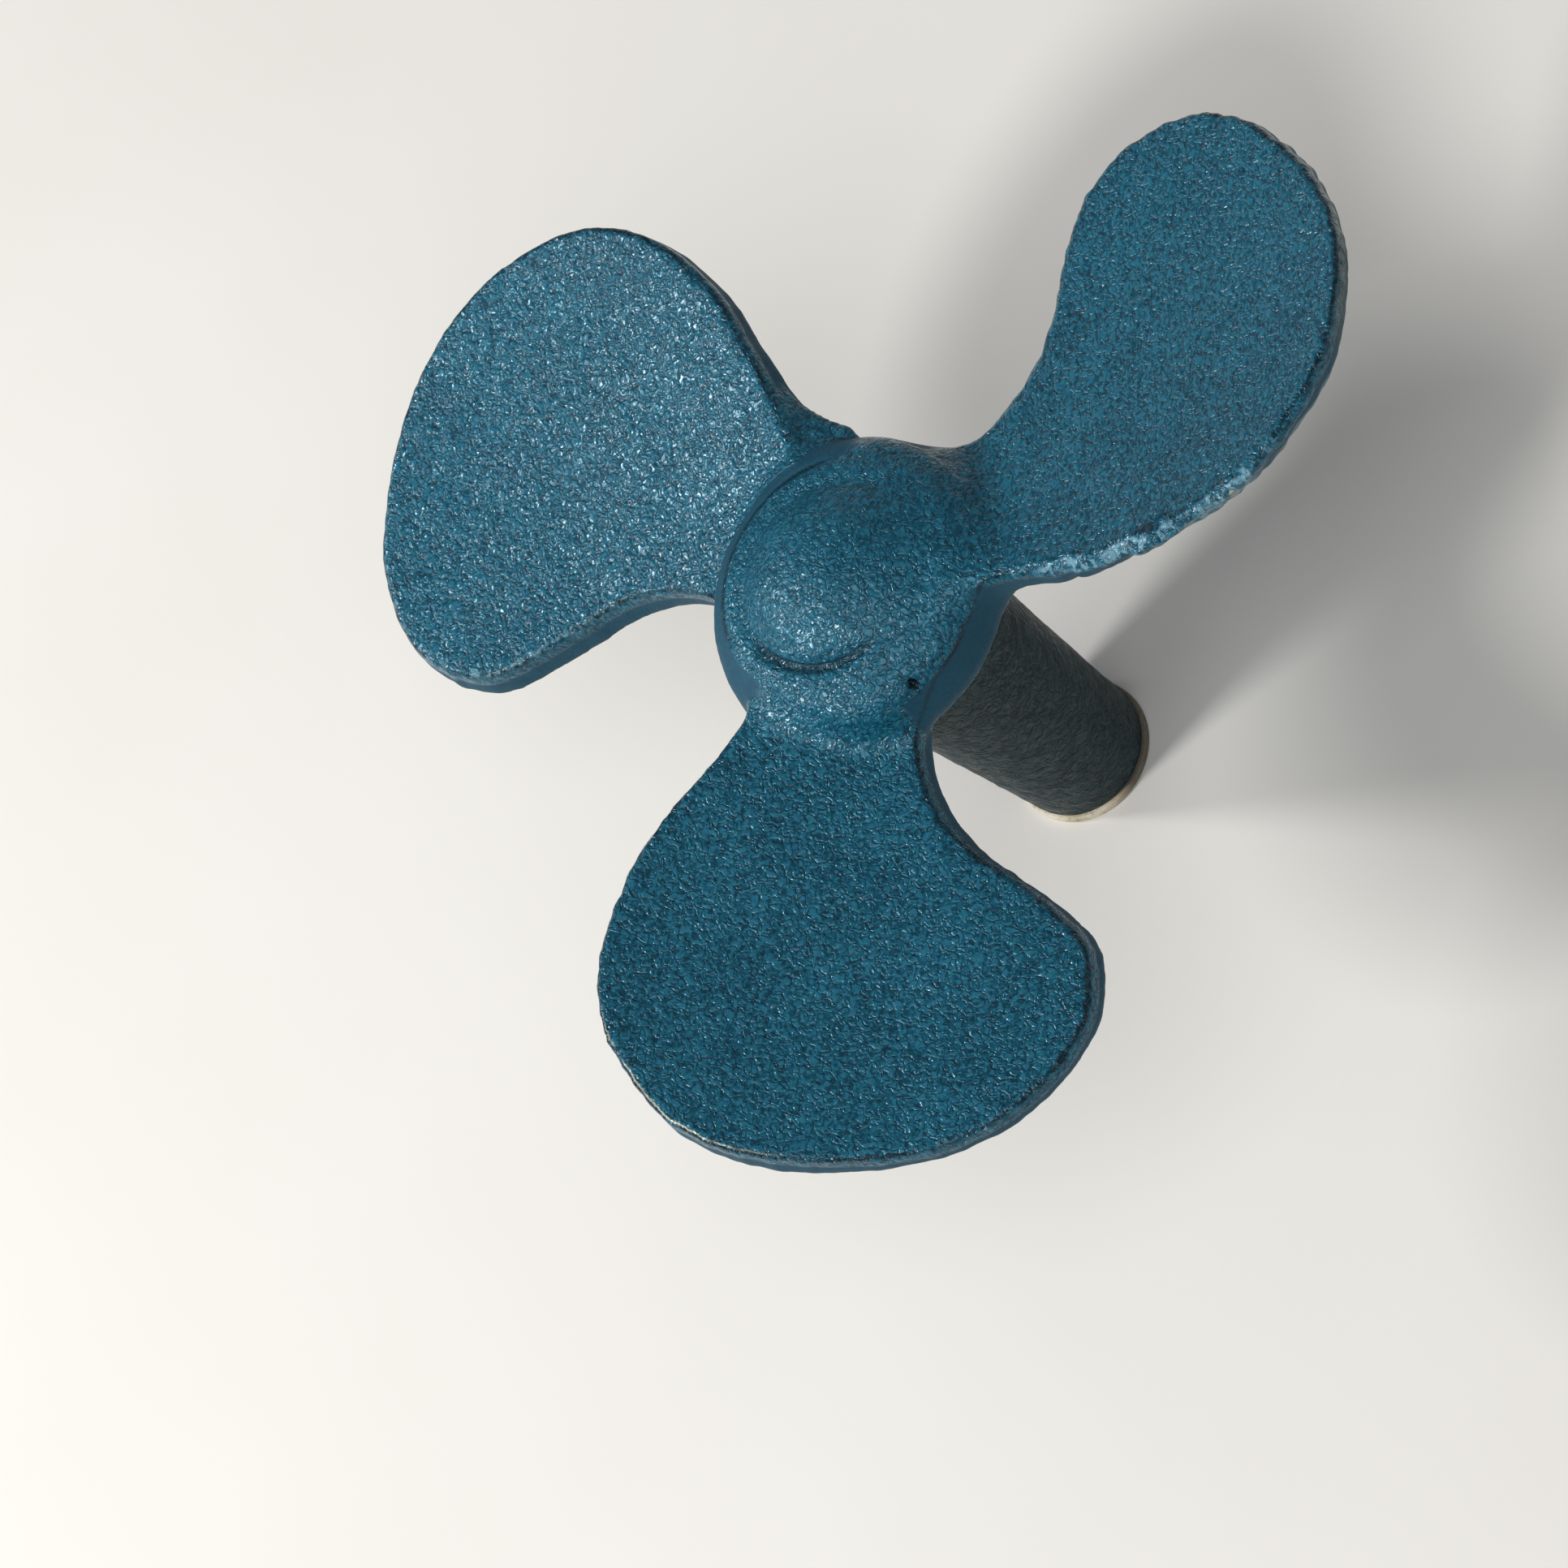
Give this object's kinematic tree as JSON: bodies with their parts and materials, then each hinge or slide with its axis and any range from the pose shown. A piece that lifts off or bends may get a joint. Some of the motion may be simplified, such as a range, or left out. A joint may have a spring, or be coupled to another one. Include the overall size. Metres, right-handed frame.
{
  "type": "boat propeller",
  "caption": "Cast iron boat propeller with broad dished blades and a domed nose, turning on a tapered stand-off post that a threaded spindle clamps to a board.",
  "frame": {"origin": "centre of the foot washer's back face, on the axis of the post", "axes": "+Z along the post from the board to the propeller's nose; one blade hangs towards -Y; +X to the right when the nose faces the viewer"},
  "size_m": [0.1192, 0.1166, 0.0959],
  "materials": {
    "propeller": "teal-blue satin paint over a rough sand-cast grain, dark in the hollows",
    "hub_bush": "plain sintered bronze",
    "spindle": "zinc plated, M8 thread",
    "thrust_washer": "natural nylon",
    "post": "slate-grey textured satin paint",
    "foot_washer": "pale fibre, matt",
    "back_washer": "zinc plated",
    "lock_washer": "zinc plated spring steel",
    "back_nut": "zinc plated"
  },
  "bodies": {
    "stand": {"post": "post", "foot_washer": "foot_washer", "spindle": "spindle", "thrust_washer": "thrust_washer", "back_washer": "back_washer", "lock_washer": "lock_washer", "back_nut": "back_nut"},
    "rotor": {"propeller": "propeller", "hub_bush": "hub_bush"}
  },
  "joints": [
    {"name": "propeller_spin", "type": "hinge", "parent": "stand", "child": "rotor", "pos_m": [0, 0, 0.0505], "axis": [0, 0, 1], "continuous": true}
  ]
}
